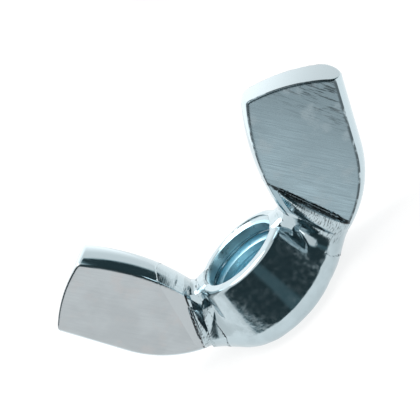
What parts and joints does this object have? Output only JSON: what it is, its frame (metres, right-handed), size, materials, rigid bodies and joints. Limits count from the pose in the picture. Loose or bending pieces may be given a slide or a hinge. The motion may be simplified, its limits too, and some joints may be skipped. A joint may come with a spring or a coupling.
{
  "type": "wing nut",
  "caption": "Cold-forged steel wing nut: a round bell-shaped boss with a threaded through hole and a rounded lip, and two upswept flat paddle wings for turning it by hand.",
  "frame": {"origin": "centre of the flat bearing face, on the thread axis", "axes": "+Z along the thread axis from the bearing face to the lip, +X along the span of the wings, +Y to the back"},
  "size_m": [0.0284, 0.0108, 0.0137],
  "materials": {
    "zinc_boss": "bright clear zinc plating on smooth forged steel, mirror-like, with a faint blue cast",
    "zinc_neck": "bright clear zinc plating on forged steel with drag lines from the press",
    "zinc_wing": "clear zinc plating on pressed steel, satin, finely brushed on the flats and bright on the edges"
  },
  "bodies": {
    "root": {"threaded_boss": "zinc_boss", "left_neck": "zinc_neck", "right_neck": "zinc_neck", "left_wing": "zinc_wing", "right_wing": "zinc_wing"}
  },
  "joints": []
}
